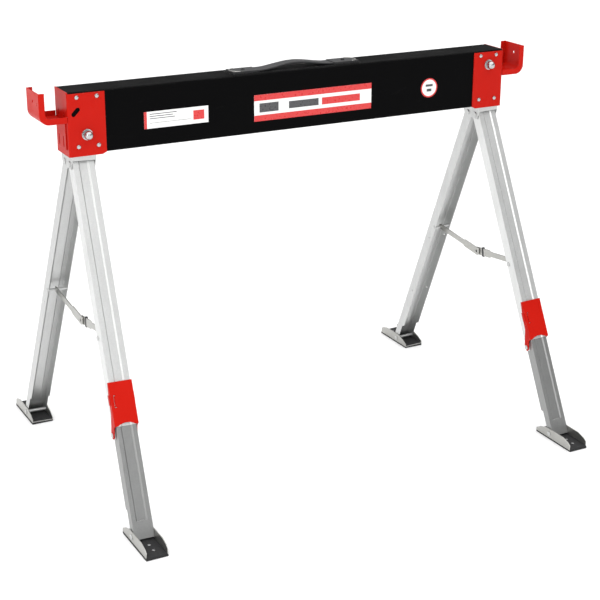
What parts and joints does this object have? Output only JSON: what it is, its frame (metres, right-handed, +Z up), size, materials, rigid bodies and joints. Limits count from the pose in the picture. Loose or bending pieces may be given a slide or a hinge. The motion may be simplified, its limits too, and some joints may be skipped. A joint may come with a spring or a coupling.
{
  "type": "folding sawhorse",
  "caption": "Folding sawhorse: steel box beam with hooked board saddles, splayed folding legs with locking braces, extension legs, pivoting feet and a carry strap.",
  "frame": {"origin": "on the floor, below the middle of the beam", "axes": "+X along the beam towards the end whose pivot bolt is higher, +Y from the extending front legs to the rear legs, +Z up"},
  "size_m": [1.127, 0.8016, 0.8392],
  "materials": {
    "black_powder_coat": "semi-gloss black powder coat with fine orange peel",
    "red_powder_coat": "gloss red powder coat",
    "galvanised_steel": "pre-galvanised sheet, satin with faint spangle",
    "zinc_plate": "zinc plated, faintly yellow passivate",
    "bright_fasteners": "bright zinc plated fasteners",
    "black_rubber": "matt black rubber",
    "strap_black": "matt black moulded strap",
    "label_white": "white vinyl label with red bands"
  },
  "bodies": {
    "beam": {"beam_shell": "black_powder_coat", "beam_labels": "label_white", "end_cap_left": "red_powder_coat", "end_cap_right": "red_powder_coat", "cap_rivets": "bright_fasteners", "pivot_bolt_left": "bright_fasteners", "pivot_bolt_right": "bright_fasteners", "pivot_nut_left": "bright_fasteners", "pivot_nut_right": "bright_fasteners", "handle_strap": "strap_black", "handle_anchors": "strap_black", "handle_screws": "black_powder_coat"},
    "swing_left": {"pivot_bush_left": "bright_fasteners"},
    "carrier_left": {"leg_carrier_left": "galvanised_steel", "leg_hinge_pins_left": "galvanised_steel"},
    "front_leg_left": {"upper_leg_left": "galvanised_steel", "latch_pins_left": "galvanised_steel", "brace_pin_front_left": "galvanised_steel"},
    "rear_leg_left": {"rear_leg_left": "galvanised_steel", "brace_pin_rear_left": "galvanised_steel"},
    "leg_extension_left": {"lower_leg_left": "galvanised_steel"},
    "clamp_left": {"latch_left": "red_powder_coat"},
    "brace_front_left": {"brace_link_front_left": "zinc_plate", "brace_rivet_left": "galvanised_steel", "brace_collar_left": "strap_black"},
    "brace_rear_left": {"brace_link_rear_left": "zinc_plate"},
    "foot_front_left": {"foot_bracket_front_left": "zinc_plate", "foot_pad_front_left": "black_rubber", "foot_screws_front_left": "bright_fasteners", "foot_pin_front_left": "galvanised_steel"},
    "foot_rear_left": {"foot_bracket_rear_left": "zinc_plate", "foot_pad_rear_left": "black_rubber", "foot_screws_rear_left": "bright_fasteners", "foot_pin_rear_left": "galvanised_steel"},
    "saddle_left": {"saddle_tray_left": "red_powder_coat", "saddle_hooks_left": "red_powder_coat"},
    "swing_right": {"pivot_bush_right": "bright_fasteners"},
    "carrier_right": {"leg_carrier_right": "galvanised_steel", "leg_hinge_pins_right": "galvanised_steel"},
    "front_leg_right": {"upper_leg_right": "galvanised_steel", "latch_pins_right": "galvanised_steel", "brace_pin_front_right": "galvanised_steel"},
    "rear_leg_right": {"rear_leg_right": "galvanised_steel", "brace_pin_rear_right": "galvanised_steel"},
    "leg_extension_right": {"lower_leg_right": "galvanised_steel"},
    "clamp_right": {"latch_right": "red_powder_coat"},
    "brace_front_right": {"brace_link_front_right": "zinc_plate", "brace_rivet_right": "galvanised_steel", "brace_collar_right": "strap_black"},
    "brace_rear_right": {"brace_link_rear_right": "zinc_plate"},
    "foot_front_right": {"foot_bracket_front_right": "zinc_plate", "foot_pad_front_right": "black_rubber", "foot_screws_front_right": "bright_fasteners", "foot_pin_front_right": "galvanised_steel"},
    "foot_rear_right": {"foot_bracket_rear_right": "zinc_plate", "foot_pad_rear_right": "black_rubber", "foot_screws_rear_right": "bright_fasteners", "foot_pin_rear_right": "galvanised_steel"},
    "saddle_right": {"saddle_tray_right": "red_powder_coat", "saddle_hooks_right": "red_powder_coat"}
  },
  "joints": [
    {"name": "fold_left", "type": "hinge", "parent": "beam", "child": "swing_left", "pos_m": [-0.4695, 0, 0.7404], "axis": [0, -1, 0], "range_deg": [0, 60]},
    {"name": "stow_left", "type": "hinge", "parent": "swing_left", "child": "carrier_left", "pos_m": [-0.4695, 0, 0.7404], "axis": [0, -1, 0], "range_deg": [0, 31.9]},
    {"name": "close_front_left", "type": "hinge", "parent": "carrier_left", "child": "front_leg_left", "pos_m": [-0.47674, -0.0143, 0.679], "axis": [0.9995, 0, -0.0332], "range_deg": [0, 25]},
    {"name": "close_rear_left", "type": "hinge", "parent": "carrier_left", "child": "rear_leg_left", "pos_m": [-0.47674, 0.0143, 0.679], "axis": [-0.9995, 0, 0.0332], "range_deg": [0, 25]},
    {"name": "brace_front_left", "type": "hinge", "parent": "front_leg_left", "child": "brace_front_left", "pos_m": [-0.4872, -0.15376, 0.36354], "axis": [0.9995, 0, -0.0332], "range_deg": [0, 68.7]},
    {"name": "brace_rear_left", "type": "hinge", "parent": "rear_leg_left", "child": "brace_rear_left", "pos_m": [-0.4872, 0.15376, 0.36354], "axis": [-0.9995, 0, 0.0332], "range_deg": [0, 68.7]},
    {"name": "foot_front_left", "type": "hinge", "parent": "leg_extension_left", "child": "foot_front_left", "pos_m": [-0.49882, -0.3248, 0.0135], "axis": [0.9995, 0, -0.0332], "range_deg": [0, 65]},
    {"name": "foot_rear_left", "type": "hinge", "parent": "rear_leg_left", "child": "foot_rear_left", "pos_m": [-0.49882, 0.3248, 0.0135], "axis": [-0.9995, 0, 0.0332], "range_deg": [0, 65]},
    {"name": "extend_left", "type": "slide", "parent": "front_leg_left", "child": "leg_extension_left", "axis": [-0.03, -0.4226, -0.9058], "range_m": [0, 0.044]},
    {"name": "latch_left", "type": "hinge", "parent": "front_leg_left", "child": "clamp_left", "pos_m": [-0.49296, -0.23357, 0.19011], "axis": [-0.9995, 0, 0.0332], "range_deg": [-60, 0]},
    {"name": "saddle_lift_left", "type": "slide", "parent": "beam", "child": "saddle_left", "axis": [0, 0, 1], "range_m": [0, 0.0095]},
    {"name": "fold_right", "type": "hinge", "parent": "beam", "child": "swing_right", "pos_m": [0.4695, 0, 0.7938], "axis": [0, 1, 0], "range_deg": [0, 60]},
    {"name": "stow_right", "type": "hinge", "parent": "swing_right", "child": "carrier_right", "pos_m": [0.4695, 0, 0.7938], "axis": [0, 1, 0], "range_deg": [0, 31.9]},
    {"name": "close_front_right", "type": "hinge", "parent": "carrier_right", "child": "front_leg_right", "pos_m": [0.47851, -0.0143, 0.679], "axis": [0.9995, 0, 0.0332], "range_deg": [0, 25]},
    {"name": "close_rear_right", "type": "hinge", "parent": "carrier_right", "child": "rear_leg_right", "pos_m": [0.47851, 0.0143, 0.679], "axis": [-0.9995, 0, -0.0332], "range_deg": [0, 25]},
    {"name": "brace_front_right", "type": "hinge", "parent": "front_leg_right", "child": "brace_front_right", "pos_m": [0.48898, -0.15376, 0.36354], "axis": [0.9995, 0, 0.0332], "range_deg": [0, 68.7]},
    {"name": "brace_rear_right", "type": "hinge", "parent": "rear_leg_right", "child": "brace_rear_right", "pos_m": [0.48898, 0.15376, 0.36354], "axis": [-0.9995, 0, -0.0332], "range_deg": [0, 68.7]},
    {"name": "foot_front_right", "type": "hinge", "parent": "leg_extension_right", "child": "foot_front_right", "pos_m": [0.50059, -0.3248, 0.0135], "axis": [0.9995, 0, 0.0332], "range_deg": [0, 65]},
    {"name": "foot_rear_right", "type": "hinge", "parent": "rear_leg_right", "child": "foot_rear_right", "pos_m": [0.50059, 0.3248, 0.0135], "axis": [-0.9995, 0, -0.0332], "range_deg": [0, 65]},
    {"name": "extend_right", "type": "slide", "parent": "front_leg_right", "child": "leg_extension_right", "axis": [0.03, -0.4226, -0.9058], "range_m": [0, 0.044]},
    {"name": "latch_right", "type": "hinge", "parent": "front_leg_right", "child": "clamp_right", "pos_m": [0.49473, -0.23357, 0.19011], "axis": [-0.9995, 0, -0.0332], "range_deg": [-60, 0]},
    {"name": "saddle_lift_right", "type": "slide", "parent": "beam", "child": "saddle_right", "axis": [0, 0, 1], "range_m": [0, 0.0095]}
  ],
  "couplings": [
    {"joint": "close_front_left", "follows": "fold_left", "ratio": 0.41667},
    {"joint": "close_rear_left", "follows": "fold_left", "ratio": 0.41667},
    {"joint": "brace_front_left", "follows": "fold_left", "ratio": 1.1449},
    {"joint": "brace_rear_left", "follows": "fold_left", "ratio": 1.1449},
    {"joint": "foot_front_left", "follows": "fold_left", "ratio": 1.0833},
    {"joint": "foot_rear_left", "follows": "fold_left", "ratio": 1.0833},
    {"joint": "close_front_right", "follows": "fold_right", "ratio": 0.41667},
    {"joint": "close_rear_right", "follows": "fold_right", "ratio": 0.41667},
    {"joint": "brace_front_right", "follows": "fold_right", "ratio": 1.1449},
    {"joint": "brace_rear_right", "follows": "fold_right", "ratio": 1.1449},
    {"joint": "foot_front_right", "follows": "fold_right", "ratio": 1.0833},
    {"joint": "foot_rear_right", "follows": "fold_right", "ratio": 1.0833}
  ]
}
